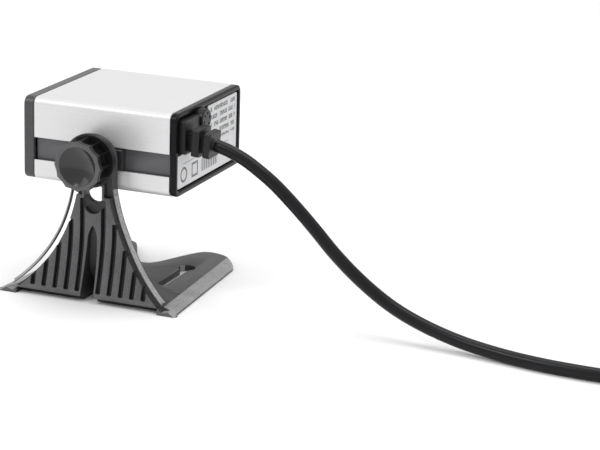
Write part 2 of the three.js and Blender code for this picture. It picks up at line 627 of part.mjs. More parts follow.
function standBracket() {
  const skirt = prismY(mirrored(legSide(RIM.core + 0.2)), LEG.front - 0.25, 12.5);
  const body = common(join(legShell(), skirt), prismX(sideProfile(), -40, 40));
  const foot = prismZ(footPlan(), 0, FOOT.thickness);
  const underCut = prismX(new THREE.Shape([v2(-14, -1), v2(-7.4, -1), v2(-7.4, 1.2), v2(-8.6, 2.1), v2(-14, 2.1)]), -27.0, 27.0);
  const grooves = common(join(...grooveCutters()), backLayer());
  const opening = prismY(roundedRect(-3.4, 3.4, 34.4, 43.2, 3.3), -20, 5, 8);
  const studHole = rodY(STUD.radius + 0.4, -20, 5, 0, CLAMP_Z, 24);
  return cut(join(body, foot), grooves, middleChannel(), underCut, opening, studHole,
    footBevel(1), footBevel(-1), ...keyhole(16.8), ...keyhole(-16.8));
}

// ---------------------------------------------------------------- lead, coil and plug

const CORD_ROUTE = [
  [39.6, 7.9, 56.7], [44.5, 7.5, 55.5], [50.7, 6.9, 53.2], [56.6, 6.3, 50.0], [62.2, 5.8, 46.4], [69.9, 5.1, 40.2],
  [77.7, 4.4, 33.2], [85.3, 3.7, 26.0], [94.9, 2.9, 18.4], [106.1, 1.9, 11.6], [117.2, 0.6, 7.3], [131.7, -1.2, 3.9],
  [146.3, -3.6, 2.5], [160.5, -6.2, CORD.z], [173.9, -7.3, CORD.z], [184.0, -7.4, CORD.z], [196.1, -7.4, CORD.z],
];
const TAIL_ROUTE = [[246.75, 43.1, 5.1], [246.75, 46.4, 4.6], [246.75, 49.7, 4.3]];
const PLUG = { x: 246.75, y: 50.0, z: 4.2, length: 24, width: 16, height: 8.2 };

function cordTube(points, steps) {
  const path = new THREE.CatmullRomCurve3(points.map((p) => v3(...p)), false, 'centripetal');
  return tube(path, CORD.radius, 8, steps);
}

/** Outer shape of the wound coil: a ring with a softened section that lies on the desk. */
function cordCoil() {
  const { radius: m, halfWidth: w, height: h } = COIL;
  const c = 1.9;
  const ring = [[m - w, c], [m - w + c, 0.02], [m + w - c, 0.02], [m + w, c], [m + w, h - c], [m + w - c, h],
    [m - w + c, h], [m - w, h - c], [m - w, c]];
  return turned(ring.map(([r, z]) => v2(r, z)), 40).rotateX(Math.PI / 2).translate(COIL.x, COIL.y, 0);
}

function plugOvermould() {
  const { x, y, z, length, width, height } = PLUG;
  const grip = prismY(roundedRect(x - width / 2, x + width / 2, z - height / 2, z + height / 2, 1.6), y + 7, y + length, 4);
  const neck = prismY(roundedRect(x - 3.6, x + 3.6, z - 3.4, z + 3.4, 1.5), y, y + 8, 4);
  return join(grip, neck);
}

function plugShell() {
  const { x, y, z, length } = PLUG;
  const y0 = y + length + GAP;
  const outside = box(x - 6, x + 6, y0, y0 + 18.5, z - 2.25, z + 2.25);
  const inside = box(x - 5.6, x + 5.6, y0 + 1, y0 + 20, z - 1.85, z + 1.85);
  return cut(outside, inside);
}

function plugTongue() {
  const { x, y, z, length } = PLUG;
  return box(x - 5.3, x + 5.3, y + length + 1.7, y + length + 17.5, z - 1.55, z + 0.2);
}

// ---------------------------------------------------------------- assembly

function cameraGroup() {
  const group = new THREE.Group();
  const sides = [['a', -1], ['b', 1]];
  group.add(
    part('body_sleeve', bodySleeve(), ALUMINIUM),
    part('rail_inlay', railInlay(), GLOSS_BLACK),
    part('front_frame', endRing(FRONT_END, FRONT_END + FRONT_FRAME.thickness, FRONT_FRAME.rim), FRAME_PLASTIC),
    part('front_panel', frontPanel(), GLOSS_BLACK),
    part('status_light', statusLight(), NYLON),
    part('rear_frame', rearFrame(), FRAME_PLASTIC),
    part('rear_panel', rearPanel(), DARK_PLASTIC),
    part('rating_label', ratingLabel(), LABEL_GREY),
    part('microphone_housing', microphoneHousing(), DARK_PLASTIC),
    part('microphone_capsule', microphoneCapsule(), STEEL),
    part('strain_relief', strainRelief(), RUBBER),
    part('focus_ring', focusRing(), DARK_PLASTIC),
    part('lens_barrel', lensBarrel(), DARK_PLASTIC),
    part('front_element', lensElement(-33.6, 1.4, 4.1, 1.0, 0.3), GLASS),
    part('rear_element', lensElement(-20.6, 1.2, 3.1, 0.5, 0.5), GLASS),
    part('lens_holder', lensHolder(), DARK_PLASTIC),
    part('infrared_filter', box(-14.6, -14.1, OPTIC.y - 4.2, OPTIC.y + 4.2, OPTIC.z - 4.2, OPTIC.z + 4.2), GLASS),
    part('image_sensor', box(-13.8, -12.9, OPTIC.y - 3.8, OPTIC.y + 3.8, OPTIC.z - 3.8, OPTIC.z + 3.8), CHIP_BLACK),
    part('main_board', mainBoard(), BOARD_GREEN),
    part('controller_chip', box(-10.7, -9.5, 29, 38, OPTIC.z - 7, OPTIC.z + 2), CHIP_BLACK),
    part('memory_chip', box(-10.7, -9.7, 41, 46, OPTIC.z - 6, OPTIC.z - 2), CHIP_BLACK),
    part('crystal', box(-10.7, -9.2, 41, 45.6, OPTIC.z + 3, OPTIC.z + 5), STEEL),
    part('capacitor_a', rodX(2.0, -10.7, -5.3, 9.5, OPTIC.z - 7, 16), ALUMINIUM),
    part('capacitor_b', rodX(2.0, -10.7, -5.3, 14.5, OPTIC.z - 7, 16), ALUMINIUM),
    part('lead_connector', leadConnector(), NYLON),
    part('inner_lead', innerLead(), RUBBER),
    ...sides.map(([letter, side]) => part(`board_screw_${letter}`, boardScrew(side), STEEL)),
  );
  return group;
}

function clampGroup() {
  const group = new THREE.Group();
  group.add(
    part('slider_block', sliderBlock(), DARK_PLASTIC),
    part('clamp_stud', clampStud(), STEEL),
    part('clamp_washer', clampWasher(), STEEL),
    part('knob', knobBody(), DARK_PLASTIC),
    part('knob_insert', knobInsert(), BRASS),
  );
  return group;
}

function cordGroup() {
  const group = new THREE.Group();
  group.add(
    part('cord_tube', cordTube(CORD_ROUTE, 20), RUBBER),
    part('cord_coil', cordCoil(), RUBBER),
    part('cord_tail', cordTube(TAIL_ROUTE, 2), RUBBER),
    part('plug_overmould', plugOvermould(), RUBBER),
    part('plug_shell', plugShell(), STEEL),
    part('plug_tongue', plugTongue(), NYLON),
  );
  return group;
}

const webcam = new THREE.Group();
webcam.name = 'webcam_on_stand';
webcam.add(cameraGroup(), clampGroup(), part('stand_bracket', standBracket(), STAND_PLASTIC), cordGroup());
webcam.position.set(-FOOTPRINT_CENTRE.x, -FOOTPRINT_CENTRE.y, 0);

export default webcam;
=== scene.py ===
"""Looks of a desk webcam on its bracket stand: studio, lead, finishes and the fine pieces.

Lengths in the classes are millimetres in the maker's coordinates: x = 0 is the middle plane of
the stand, y = 0 the rail side of the camera and z = 0 the desk. to_row() turns them into metres
in the row's frame, which is where every mesh is made.
"""

import logging
import math
from dataclasses import dataclass, field
from enum import Enum
from typing import Callable, Mapping, Optional, Sequence, Union

import bmesh
import bpy
import numpy as np
from mathutils import Matrix, Vector


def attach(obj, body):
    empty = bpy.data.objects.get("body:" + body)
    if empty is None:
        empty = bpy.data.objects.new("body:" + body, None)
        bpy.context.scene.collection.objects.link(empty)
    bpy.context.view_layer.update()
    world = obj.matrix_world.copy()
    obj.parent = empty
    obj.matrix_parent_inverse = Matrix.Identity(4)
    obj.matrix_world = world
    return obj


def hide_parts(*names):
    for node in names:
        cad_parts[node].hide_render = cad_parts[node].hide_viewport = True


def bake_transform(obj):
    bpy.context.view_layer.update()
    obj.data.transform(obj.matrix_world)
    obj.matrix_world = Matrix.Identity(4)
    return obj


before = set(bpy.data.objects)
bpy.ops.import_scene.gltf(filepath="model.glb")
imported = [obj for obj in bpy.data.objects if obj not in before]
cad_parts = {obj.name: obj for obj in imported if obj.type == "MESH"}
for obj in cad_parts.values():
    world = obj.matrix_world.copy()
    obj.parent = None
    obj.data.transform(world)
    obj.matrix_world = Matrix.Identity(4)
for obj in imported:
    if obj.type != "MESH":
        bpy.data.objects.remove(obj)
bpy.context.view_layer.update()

log = logging.getLogger("webcam")

MM = 0.001
FOOTPRINT_CENTRE = np.array([1.27, 19.5, 0.0])
CLAMP_Z = 50.2

Colour = tuple[float, float, float]
Number = Union[int, float]


def to_row(points: np.ndarray) -> np.ndarray:
    """Millimetres in the maker's coordinates to metres in the row's frame: (p - centre) / 1000."""
    return (np.asarray(points, float) - FOOTPRINT_CENTRE) * MM


# ----------------------------------------------------------------------------- shader writing


class Value:
    """A number-valued socket of a shader, used in ordinary arithmetic."""

    def __init__(self, shader: "Shader", socket: bpy.types.NodeSocket) -> None:
        """Wrap one output socket of the shader's tree."""
        self.shader = shader
        self.socket = socket

    def _math(self, operation: str, *others: Union["Value", Number]) -> "Value":
        """Add a Math node fed by this value and the others, in order."""
        feeds = {i: o for i, o in enumerate((self, *others))}
        return self.shader.value(self.shader.node("Math", {"operation": operation}, feeds))

    def _swapped(self, operation: str, other: Number) -> "Value":
        """Add a Math node with a plain number first and this value second."""
        return self.shader.value(self.shader.node("Math", {"operation": operation}, {0: other, 1: self}))

    def __add__(self, other: Union["Value", Number]) -> "Value":
        """Sum."""
        return self._math("ADD", other)

    __radd__ = __add__

    def __sub__(self, other: Union["Value", Number]) -> "Value":
        """Difference."""
        return self._math("SUBTRACT", other)

    def __rsub__(self, other: Number) -> "Value":
        """Difference from a plain number."""
        return self._swapped("SUBTRACT", other)

    def __mul__(self, other: Union["Value", Number]) -> "Value":
        """Product."""
        return self._math("MULTIPLY", other)

    __rmul__ = __mul__

    def __truediv__(self, other: Union["Value", Number]) -> "Value":
        """Quotient."""
        return self._math("DIVIDE", other)

    def __pow__(self, other: Union["Value", Number]) -> "Value":
        """Power."""
        return self._math("POWER", other)

    def __abs__(self) -> "Value":
        """Size without sign."""
        return self._math("ABSOLUTE")

    def below(self, other: Union["Value", Number]) -> "Value":
        """One where this is less than the other, else nought."""
        return self._math("LESS_THAN", other)

    def above(self, other: Union["Value", Number]) -> "Value":
        """One where this is greater than the other, else nought."""
        return self._math("GREATER_THAN", other)

    def least(self, other: Union["Value", Number]) -> "Value":
        """The smaller of the two."""
        return self._math("MINIMUM", other)

    def most(self, other: Union["Value", Number]) -> "Value":
        """The larger of the two."""
        return self._math("MAXIMUM", other)

    def floor(self) -> "Value":
        """Whole number below."""
        return self._math("FLOOR")

    def fraction(self) -> "Value":
        """What is left above the whole number below."""
        return self._math("FRACT")


Feed = Union[Value, Number, Sequence[float], bpy.types.NodeSocket]


class Shader:
    """One material's node tree while it is being written."""

    def __init__(self, name: str) -> None:
        """Start an empty material with a Principled surface."""
        self.material = bpy.data.materials.new(name)
        self.material.use_nodes = True
        self.tree = self.material.node_tree
        self.tree.nodes.clear()
        self.output = self.tree.nodes.new("ShaderNodeOutputMaterial")
        self.surface = self.tree.nodes.new("ShaderNodeBsdfPrincipled")
        self.tree.links.new(self.surface.outputs[0], self.output.inputs[0])
        self._place: Optional[bpy.types.NodeSocket] = None

    def _feed(self, socket: bpy.types.NodeSocket, feed: Feed) -> None:
        """Link a socket, or set its constant."""
        if isinstance(feed, Value):
            self.tree.links.new(feed.socket, socket)
        elif isinstance(feed, bpy.types.NodeSocket):
            self.tree.links.new(feed, socket)
        elif isinstance(feed, (int, float)):
            socket.default_value = feed
        elif len(feed) == 3 and len(socket.default_value) == 4:
            socket.default_value = (*feed, 1.0)
        else:
            socket.default_value = feed

    def node(
        self,
        kind: str,
        settings: Optional[Mapping[str, object]] = None,
        feeds: Optional[Mapping[Union[str, int], Feed]] = None,
    ) -> bpy.types.Node:
        """Add a node.

        Args:
            kind: The node's type without its ShaderNode prefix.
            settings: Properties set before the sockets, such as a Math node's operation.
            feeds: Values or links of its input sockets, by name or number.

        Returns:
            The new node.
        """
        node = self.tree.nodes.new("ShaderNode" + kind)
        for key, value in (settings or {}).items():
            setattr(node, key, value)
        for key, feed in (feeds or {}).items():
            self._feed(node.inputs[key], feed)
        return node

    def value(self, node: bpy.types.Node, output: Union[str, int] = 0) -> Value:
        """Wrap a node's output for arithmetic."""
        return Value(self, node.outputs[output])

    def place(self) -> bpy.types.NodeSocket:
        """The object coordinates, in metres in the row's frame."""
        if self._place is None:
            self._place = self.node("TexCoord").outputs["Object"]
        return self._place

    def attribute(self, name: str) -> Value:
        """A number stored on the piece."""
        return self.value(self.node("Attribute", {"attribute_name": name}), "Fac")

    def axes(self) -> tuple[Value, Value, Value]:
        """The maker's x, y and z in millimetres at the shaded point."""
        parts = self.node("SeparateXYZ", feeds={0: self.place()})
        centre = FOOTPRINT_CENTRE
        return tuple(self.value(parts, i) * 1000.0 + float(centre[i]) for i in range(3))

    def stretched(self, scale: Sequence[float]) -> bpy.types.NodeSocket:
        """Object coordinates multiplied by a factor along each axis."""
        return self.node("Mapping", feeds={"Vector": self.place(), "Scale": scale}).outputs[0]

    def noise(
        self,
        size: float,
        detail: float = 2.0,
        stretch: Sequence[float] = (1.0, 1.0, 1.0),
        where: Optional[bpy.types.NodeSocket] = None,
    ) -> Value:
        """Cloud noise.

        Args:
            size: Millimetres across one cloud.
            detail: Octaves of finer clouds.
            stretch: How many times finer it is along each axis.
            where: The coordinates that it reads, or the object coordinates.

        Returns:
            A value near one half, mostly between 0.3 and 0.7.
        """
        vector = where or self.stretched(stretch)
        feeds = {"Vector": vector, "Scale": 1000.0 / size, "Detail": detail}
        return self.value(self.node("TexNoise", feeds=feeds), 0)

    def cells(self, size: float) -> Value:
        """Distance to the nearest of a scatter of points about size millimetres apart, in sizes."""
        feeds = {"Vector": self.place(), "Scale": 1000.0 / size}
        return self.value(self.node("TexVoronoi", feeds=feeds), "Distance")

    def mix(self, factor: Union[Value, Number], first: Feed, second: Feed) -> bpy.types.NodeSocket:
        """Colour that goes from the first to the second as the factor goes from nought to one."""
        return self.node("Mix", {"data_type": "RGBA"}, {0: factor, 6: first, 7: second}).outputs[2]

    def rounded(self, radius: float) -> bpy.types.NodeSocket:
        """Normal that rolls over edges with a radius in millimetres."""
        return self.node("Bevel", {"samples": 4}, {"Radius": radius * MM}).outputs[0]

    def relief(
        self, height: Value, depth: float, strength: float = 1.0, over: Optional[bpy.types.NodeSocket] = None
    ) -> bpy.types.NodeSocket:
        """Normal of a surface raised by height times depth millimetres, over another normal."""
        feeds: dict = {"Height": height, "Distance": depth * MM, "Strength": strength}
        if over is not None:
            feeds["Normal"] = over
        return self.node("Bump", feeds=feeds).outputs[0]

    def finish(self, **sockets: Feed) -> bpy.types.Material:
        """Set the surface's sockets by name, with _ for a space, and give the material."""
        for key, feed in sockets.items():
            self._feed(self.surface.inputs[key.replace("_", " ")], feed)
        return self.material


# ----------------------------------------------------------------------------- finishes


@dataclass(frozen=True)
class SatinAluminium:
    """Clear anodised aluminium with a fine brush along the camera, under a milky oxide."""

    colour: Colour = (0.74, 0.74, 0.745)
    bare: float = 0.35
    roughness: float = 0.36
    brush: float = 0.09

    def dress(self, name: str) -> bpy.types.Material:
        """Write the material."""
        s = Shader(name)
        hair = s.noise(0.35, 3.0, (0.03, 1.0, 1.0))
        cloud = s.noise(9.0, 2.0)
        grain = s.noise(self.brush, 1.0, (0.3, 1.0, 1.0))
        rough = self.roughness + (hair - 0.5) * 0.16 + (cloud - 0.5) * 0.06
        darker = tuple(0.93 * c for c in self.colour)
        tint = s.mix((hair - 0.3) * 1.6, darker, self.colour)
        normal = s.relief(grain, 0.006, 0.5, s.relief(hair, 0.01, 0.5, s.rounded(0.35)))
        return s.finish(Base_Color=tint, Metallic=self.bare, Roughness=rough, Normal=normal)


@dataclass(frozen=True)
class MouldedPlastic:
    """Textured moulding, with a slight shine where edges are rubbed."""

    colour: Colour
    roughness: float = 0.5
    grain: float = 0.25
    depth: float = 0.02
    edge: float = 0.3
    specular: float = 0.5

    def dress(self, name: str) -> bpy.types.Material:
        """Write the material."""
        s = Shader(name)
        grain = s.noise(self.grain, 3.0)
        cloud = s.noise(7.0, 3.0)
        pits = s.cells(self.grain * 1.6)
        lighter = tuple(min(1.0, 1.5 * c + 0.004) for c in self.colour)
        tint = s.mix((cloud - 0.35) * 1.2, self.colour, lighter)
        rough = self.roughness + (cloud - 0.5) * 0.16 + (grain - 0.5) * 0.12
        normal = s.relief(grain * 0.7 + pits * 0.3, self.depth, 0.7, s.rounded(self.edge))
        return s.finish(
            Base_Color=tint, Roughness=rough, Normal=normal, Specular_IOR_Level=self.specular
        )


@dataclass(frozen=True)
class PolishedPlastic:
    """Glossy lacquered plastic with faint wiping marks."""

    colour: Colour
    roughness: float = 0.07
    coat: float = 0.6
    edge: float = 0.25

    def dress(self, name: str) -> bpy.types.Material:
        """Write the material."""
        s = Shader(name)
        wipe = s.noise(2.2, 4.0, (0.25, 1.0, 1.0))
        dust = s.cells(0.6)
        specks = dust.below(0.09)
        tint = s.mix(specks * 0.35, self.colour, (0.25, 0.25, 0.26))
        rough = self.roughness + (wipe - 0.45).most(0.0) * 0.35 + specks * 0.3
        normal = s.relief(wipe, 0.01, 0.25, s.rounded(self.edge))
        return s.finish(
            Base_Color=tint, Roughness=rough, Normal=normal, Coat_Weight=self.coat, Coat_Roughness=0.05
        )


@dataclass(frozen=True)
class BareMetal:
    """Plated or machined metal with fine scratches."""

    colour: Colour
    roughness: float = 0.28
    edge: float = 0.12

    def dress(self, name: str) -> bpy.types.Material:
        """Write the material."""
        s = Shader(name)
        scratch = s.noise(0.2, 3.0, (0.2, 1.0, 0.6))
        cloud = s.noise(3.0, 3.0)
        dull = tuple(0.72 * c for c in self.colour)
        tint = s.mix((cloud - 0.3) * 1.4, self.colour, dull)
        rough = self.roughness + (scratch - 0.5) * 0.3 + (cloud - 0.5) * 0.12
        normal = s.relief(scratch, 0.008, 0.6, s.rounded(self.edge))
        return s.finish(Base_Color=tint, Metallic=1.0, Roughness=rough, Normal=normal)


@dataclass(frozen=True)
class CoatedGlass:
    """Optical glass with a coloured coating."""

    colour: Colour = (0.62, 0.66, 0.9)

    def dress(self, name: str) -> bpy.types.Material:
        """Write the material."""
        s = Shader(name)
        bloom = s.noise(2.5, 2.0)
        tint = s.mix(bloom, self.colour, (0.5, 0.75, 0.62))
        dust = s.cells(0.5).below(0.06)
        return s.finish(
            Base_Color=tint, Roughness=0.03 + dust * 0.4, Transmission_Weight=0.9, IOR=1.52, Coat_Weight=0.5
        )


@dataclass(frozen=True)
class Sheath:
    """Smooth flexible jacket of a lead, read along and round the piece's own map."""

    colour: Colour = (0.005, 0.005, 0.006)
    roughness: float = 0.3
    specular: float = 0.22

    def dress(self, name: str) -> bpy.types.Material:
        """Write the material. The map's u is metres along the lead and its v is turns round it."""
        s = Shader(name)
        uv = s.node("UVMap", {"uv_map": "along"}).outputs[0]
        lines = s.node("Mapping", feeds={"Vector": uv, "Scale": (60.0, 26.0, 1.0)}).outputs[0]
        drawn = s.value(s.node("TexNoise", feeds={"Vector": lines, "Scale": 1.0, "Detail": 3.0}), 0)
        waves = s.node("Mapping", feeds={"Vector": uv, "Scale": (45.0, 1.5, 1.0)}).outputs[0]
        sway = s.value(s.node("TexNoise", feeds={"Vector": waves, "Scale": 1.0, "Detail": 2.0}), 0)
        skin = s.noise(0.22, 2.0)
        tint = s.mix((sway - 0.3) * 1.2, self.colour, tuple(1.9 * c for c in self.colour))
        rough = self.roughness + (sway - 0.5) * 0.2 + (drawn - 0.5) * 0.14
        normal = s.relief(skin, 0.01, 0.5, s.relief(drawn, 0.02, 0.35))
        return s.finish(Base_Color=tint, Roughness=rough, Normal=normal, Specular_IOR_Level=self.specular)


@dataclass(frozen=True)
class StandFinish:
    """Grained stand moulding with a painted pale-grey highlight on its bevelled rims and rib crests."""

    colour: Colour = (0.020, 0.020, 0.022)
    # pale grey of the painted highlight on the bracket's bevelled rims and rib crests
    rim: Colour = (0.42, 0.42, 0.425)

    def dress(self, name: str) -> bpy.types.Material:
        """Write the material, which reads the piece's painted-highlight mask and paints the highlight pale
        grey.
        """
        s = Shader(name)
        mask = s.attribute("rim")
        grain = s.noise(0.18, 3.0)
        speck = s.noise(0.4, 2.0)
        cloud = s.noise(8.0, 3.0)
        # painted highlight: where the mask is set the colour goes pale grey and half metallic, broken up by
        # noise, standing in for light caught by rims and crests
        painted_highlight_weight = (mask * (0.75 + (speck - 0.5) * 1.6 + (cloud - 0.5) * 0.7)).most(0.0).least(1.0)
        body = s.mix((cloud - 0.3) * 1.3, self.colour, tuple(1.7 * c for c in self.colour))
        tint = s.mix(painted_highlight_weight, body, self.rim)
        rough = 0.42 + (cloud - 0.5) * 0.16 + (grain - 0.5) * 0.16 + painted_highlight_weight * 0.1
        normal = s.relief(grain, 0.022, 0.8, s.rounded(0.25))
        return s.finish(Base_Color=tint, Roughness=rough, Normal=normal, Metallic=painted_highlight_weight * 0.5)


@dataclass(frozen=True)
class PrintedFilm:
    """Silver-grey film with rows of unreadable print and three plain marks."""

    film: Colour = (0.60, 0.60, 0.61)
    ink: Colour = (0.03, 0.03, 0.033)

    def dress(self, name: str) -> bpy.types.Material:
        """Write the material.

        A row is a band of z. Its words are cells of y that a coarse noise leaves full, and the
        strokes in them are a fine noise past a threshold.
        """
        s = Shader(name)
        _, y, z = s.axes()
        fibre = s.noise(0.3, 3.0)
        cloud = s.noise(6.0, 2.0)
        ink = self._rows(s, y, z).most(self._marks(s, y, z)).least(1.0)
        paper = s.mix((cloud - 0.3) * 1.2, self.film, tuple(0.9 * c for c in self.film))
        tint = s.mix(ink * (0.86 + (fibre - 0.5) * 0.8), paper, self.ink)
        rough = 0.42 + (cloud - 0.5) * 0.15 - ink * 0.08
        normal = s.relief(fibre, 0.006, 0.4, s.rounded(0.1))
        return s.finish(Base_Color=tint, Roughness=rough, Normal=normal, Metallic=0.25)

    @staticmethod
    def _noise_at(s: Shader, where: bpy.types.NodeSocket, detail: float) -> Value:
        """Noise read at that vector, one cloud to a unit."""
        return s.value(s.node("TexNoise", feeds={"Vector": where, "Scale": 1.0, "Detail": detail}), 0)

    def _rows(self, s: Shader, y: Value, z: Value) -> Value:
        """Rows of print: a window of y and z, banded along z and broken into words along y."""
        pitch = 2.8
        band = abs((z / pitch).fraction() - 0.5).below(0.28)
        row = (z / pitch).floor()
        words = s.node("CombineXYZ", feeds={0: y * 0.4, 1: row * 7.3, 2: 0.0}).outputs[0]
        word = self._noise_at(s, words, 0.0).above(0.42)
        strokes = s.node("CombineXYZ", feeds={0: y * 2.2, 1: z * 1.5, 2: row}).outputs[0]
        stroke = self._noise_at(s, strokes, 1.0).above(0.44)
        window = y.above(29.0) * y.below(50.0) * z.above(51.6) * z.below(64.2)
        return band * word * stroke * window

    def _marks(self, s: Shader, y: Value, z: Value) -> Value:
        """A ring, a square frame and a barred box, each drawn as a band about its outline."""
        ring = abs(((y - 7.5) ** 2.0 + (z - 45.0) ** 2.0) ** 0.5 - 2.3).below(0.45)
        square = abs((abs(y - 16.5)).most(abs(z - 45.0)) - 2.2).below(0.42)
        stripes = abs((y / 1.5).fraction() - 0.5).below(0.3)
        bars = stripes * abs(y - 28.5).below(6.7) * abs(z - 45.0).below(2.3)
        line = abs(z - 48.9).below(0.12) * abs(y - 26.0).below(19.0)
        return (ring + square + bars + line).least(1.0)


@dataclass(frozen=True)
class BoardMask:
    """Green circuit board with traces under the mask."""

    def dress(self, name: str) -> bpy.types.Material:
        """Write the material: bands of a turned noise make the traces."""
        s = Shader(name)
        run = s.noise(4.0, 2.0, (1.0, 1.0, 1.0))
        trace = abs((run * 14.0).fraction() - 0.5).below(0.13)
        tint = s.mix(trace, (0.012, 0.09, 0.04), (0.03, 0.2, 0.09))
        normal = s.relief(trace, 0.03, 0.5, s.rounded(0.1))
        return s.finish(Base_Color=tint, Roughness=0.3 + trace * 0.1, Normal=normal)


class Finish(Enum):
    """The finishes named in the record, each with its recipe."""

    ALUMINIUM = SatinAluminium()
    GLOSS_BLACK = PolishedPlastic((0.012, 0.012, 0.014))
    FRAME = MouldedPlastic((0.045, 0.045, 0.048), 0.32, 0.2, 0.008, 0.4)
    DIFFUSER = MouldedPlastic((0.80, 0.82, 0.83), 0.3, 0.3, 0.01, 0.2)
    DARK = MouldedPlastic((0.008, 0.008, 0.009), 0.34, 0.22, 0.02, 0.3, 0.3)
    KNOB_FACE = MouldedPlastic((0.07, 0.07, 0.073), 0.4, 0.12, 0.02, 0.15)
    DISH = PolishedPlastic((0.004, 0.004, 0.005), 0.17, 0.3)
    RAIL = MouldedPlastic((0.085, 0.085, 0.09), 0.3, 0.5, 0.004, 0.1)
    SLIDER = MouldedPlastic((0.028, 0.028, 0.030), 0.3, 0.3, 0.006, 0.25)
    REAR_FRAME = MouldedPlastic((0.004, 0.004, 0.005), 0.22, 0.4, 0.004, 0.3, 0.14)
    LABEL = PrintedFilm()
    STEEL = BareMetal((0.62, 0.62, 0.63))
    SOFT_BLACK = MouldedPlastic((0.007, 0.007, 0.008), 0.4, 0.35, 0.02, 0.5, 0.3)
    GLASS = CoatedGlass()
    CHIP = MouldedPlastic((0.02, 0.02, 0.021), 0.55, 0.15, 0.015, 0.15)
    BOARD = BoardMask()
    CAN = BareMetal((0.75, 0.75, 0.76), 0.35)
    NYLON = MouldedPlastic((0.72, 0.69, 0.60), 0.4, 0.3, 0.01, 0.25)
    SHEATH = Sheath()
    INNER_LEAD = MouldedPlastic((0.014, 0.014, 0.016), 0.38, 0.4, 0.01, 0.1)
    BRASS = BareMetal((0.80, 0.58, 0.25))
    STAND = StandFinish()


class Wardrobe:
    """Makes each finish once and puts it on pieces."""

    def __init__(self) -> None:
        """Start with nothing made."""
        self.made: dict[Finish, bpy.types.Material] = {}

    def material(self, finish: Finish) -> bpy.types.Material:
        """The finish's material, written on first use."""
        if finish not in self.made:
            self.made[finish] = finish.value.dress(finish.name.lower())
        return self.made[finish]

    def dress(self, piece: bpy.types.Object, finish: Finish) -> bpy.types.Object:
        """Give a piece one finish all over."""
        piece.data.materials.clear()
        piece.data.materials.append(self.material(finish))
        return piece

    def dress_nodes(self, names: Sequence[str], finish: Finish) -> None:
        """Give the finish to CAD nodes through their objects' material slots."""
        for name in names:
            node = bpy.data.objects[name]
            if not node.material_slots:
                node.data.materials.append(None)
            for slot in node.material_slots:
                slot.material = self.material(finish)


# ----------------------------------------------------------------------------- surfaces


def unit(vectors: np.ndarray) -> np.ndarray:
    """Each vector divided by its length."""
    return vectors / np.linalg.norm(vectors, axis=-1, keepdims=True)


def new_piece(name: str, points: np.ndarray, faces: list, smooth_angle: float = 40.0) -> bpy.types.Object:
    """Make a mesh object at the origin.

    Args:
        name: The piece's name.
        points: Corners in metres in the row's frame, one row each.
        faces: Corner numbers of each face.
        smooth_angle: Degrees between faces past which the edge stays sharp.

    Returns:
        The new object, linked into the scene.
    """
    mesh = bpy.data.meshes.new(name)
    mesh.from_pydata(points.reshape(-1, 3).tolist(), [], faces)
    mesh.update()
    mesh.shade_smooth()
    mesh.set_sharp_from_angle(angle=math.radians(smooth_angle))
    piece = bpy.data.objects.new(name, mesh)
    bpy.context.scene.collection.objects.link(piece)
    return piece


def ring_faces(rings: int, sides: int, capped: bool = True) -> list:
    """Faces of a stack of rings: quads between neighbours, and one flat face over each end.

    Args:
        rings: Number of rings.
        sides: Points on each ring.
        capped: Whether the first and last rings are closed over.

    Returns:
        Lists of corner numbers, pointing outwards when the rings run along their own axis.
    """
    i = np.arange(rings - 1)[:, None] * sides
    j = np.arange(sides)[None, :]
    k = (j + 1) % sides
    quads = np.stack([i + j, i + k, i + sides + k, i + sides + j], axis=-1).reshape(-1, 4).tolist()
    if capped:
        quads.append(list(range(sides))[::-1])
        quads.append([(rings - 1) * sides + n for n in range(sides)])
    return quads


def sweep(name: str, path: np.ndarray, radius: np.ndarray, sides: int) -> bpy.types.Object:
    """Round tube along a path.

    A ring stands square to the path at each point: its sideways direction is the path's tangent
    crossed with the vertical, and its other direction is square to both.

    Args:
        name: The piece's name.
        path: Centreline in metres in the row's frame.
        radius: Radius at each point, in metres.
        sides: Points round the tube.

    Returns:
        The tube, with a map called along: metres from the start, and turns round.
    """
    tangent = unit(np.gradient(path, axis=0))
    side = unit(np.cross(tangent, [0.0, 0.0, 1.0]))
    rise = np.cross(side, tangent)
    angle = np.arange(sides) * 2 * math.pi / sides
    spoke = np.cos(angle)[None, :, None] * side[:, None] + np.sin(angle)[None, :, None] * rise[:, None]
    points = path[:, None] + spoke * radius[:, None, None]
    piece = new_piece(name, points, ring_faces(len(path), sides), 60.0)
    travel = distance_along(path)
    corner = np.empty(len(piece.data.loops), np.int32)
    piece.data.loops.foreach_get("vertex_index", corner)
    turn = (corner % sides) / sides
    around = np.minimum(turn, 1.0 - turn) * 2.0
    uv = piece.data.uv_layers.new(name="along")
    uv.data.foreach_set("uv", np.stack([travel[corner // sides], around], axis=1).astype(np.float32).ravel())
    return piece


def turned(
    name: str,
    profile: np.ndarray,
    sides: int,
    place: Callable[[np.ndarray, np.ndarray, np.ndarray], np.ndarray],
    shape: Optional[Callable[[np.ndarray, np.ndarray, np.ndarray], np.ndarray]] = None,
    smooth_angle: float = 35.0,
) -> bpy.types.Object:
    """Closed body of revolution whose radius may also change round the axis.

    Args:
        name: The piece's name.
        profile: Rows of (radius, distance along the axis, weight of the shape).
        sides: Points round the axis.
        place: Turns radius, angle and distance into row-frame metres.
        shape: Gives the radius from profile radius, angle and weight, or none to keep it.
        smooth_angle: Degrees past which an edge stays sharp.

    Returns:
        The piece.
    """
    angle = np.arange(sides)[None, :] * 2 * math.pi / sides
    radius = np.repeat(profile[:, :1], sides, axis=1)
    if shape is not None:
        radius = shape(radius, angle, profile[:, 2:3])
    along = np.repeat(profile[:, 1:2], sides, axis=1)
    points = place(radius, np.broadcast_to(angle, radius.shape), along)
    return new_piece(name, points, ring_faces(len(profile), sides), smooth_angle)


